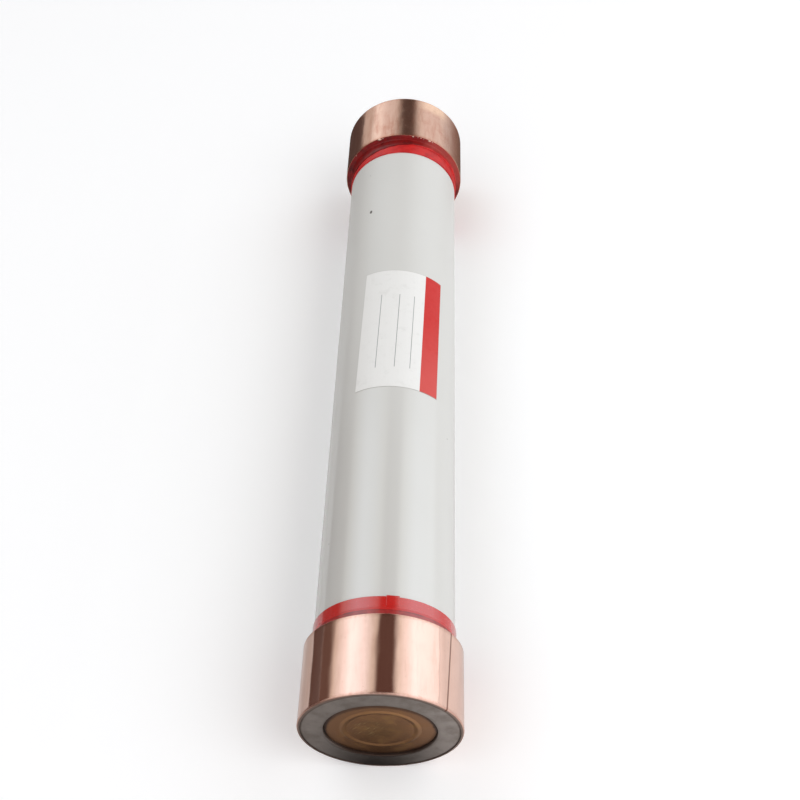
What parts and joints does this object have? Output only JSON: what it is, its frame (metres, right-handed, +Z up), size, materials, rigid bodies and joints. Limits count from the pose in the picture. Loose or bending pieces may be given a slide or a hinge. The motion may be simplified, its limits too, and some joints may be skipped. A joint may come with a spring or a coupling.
{
  "type": "current-limiting fuse",
  "caption": "Tubular sand-filled current-limiting fuse with copper end caps for spring clips and a pop-out blown-fuse indicator in one end.",
  "frame": {"origin": "on the fuse's axis, midway between its two end planes", "axes": "+Y along the fuse, from the plain end to the indicator end; +Z up, through the label's side; +X to the right when looking along +Y"},
  "size_m": [0.055, 0.31, 0.055],
  "materials": {
    "glazed_tube": "satin glaze, pale warm grey",
    "core_ceramic": "unglazed",
    "copper": "polished copper",
    "tinned_ring": "dull tinned metal",
    "cover_brass": "tarnished brass",
    "inner_brass": "plain brass",
    "gasket_rubber": "plain",
    "felt": "felt",
    "cement": "set cement",
    "red_seal": "glossy red compound",
    "red_band": "glossy red",
    "silvered_wire": "silver plated",
    "tin": "solder",
    "sand": "quartz grains",
    "spring_steel": "bright drawn",
    "indicator_red": "enamelled",
    "label_white": "coated paper"
  },
  "bodies": {
    "fuse": {"ceramic_tube": "glazed_tube", "far_cap": "copper", "far_cement": "cement", "far_contact_star": "inner_brass", "far_cover": "cover_brass", "far_end_ring": "tinned_ring", "far_gasket": "gasket_rubber", "far_pad": "felt", "far_red_band": "red_band", "far_seal_bead": "red_seal", "fuse_element_1": "silvered_wire", "fuse_element_2": "silvered_wire", "fuse_element_3": "silvered_wire", "indicator_guide": "inner_brass", "indicator_spring": "spring_steel", "indicator_wire": "spring_steel", "label": "label_white", "near_cap": "copper", "near_cement": "cement", "near_contact_star": "inner_brass", "near_cover": "cover_brass", "near_end_ring": "tinned_ring", "near_gasket": "gasket_rubber", "near_pad": "felt", "near_red_band": "red_band", "near_seal_bead": "red_seal", "quartz_sand": "sand", "tin_beads": "tin", "winding_core": "core_ceramic", "wire_anchor": "inner_brass"},
    "indicator": {"indicator_pin": "indicator_red"}
  },
  "joints": [
    {"name": "indicator_pop", "type": "slide", "parent": "fuse", "child": "indicator", "axis": [0, 1, 0], "range_m": [0, 0.012], "deforming": ["indicator_spring"]}
  ]
}
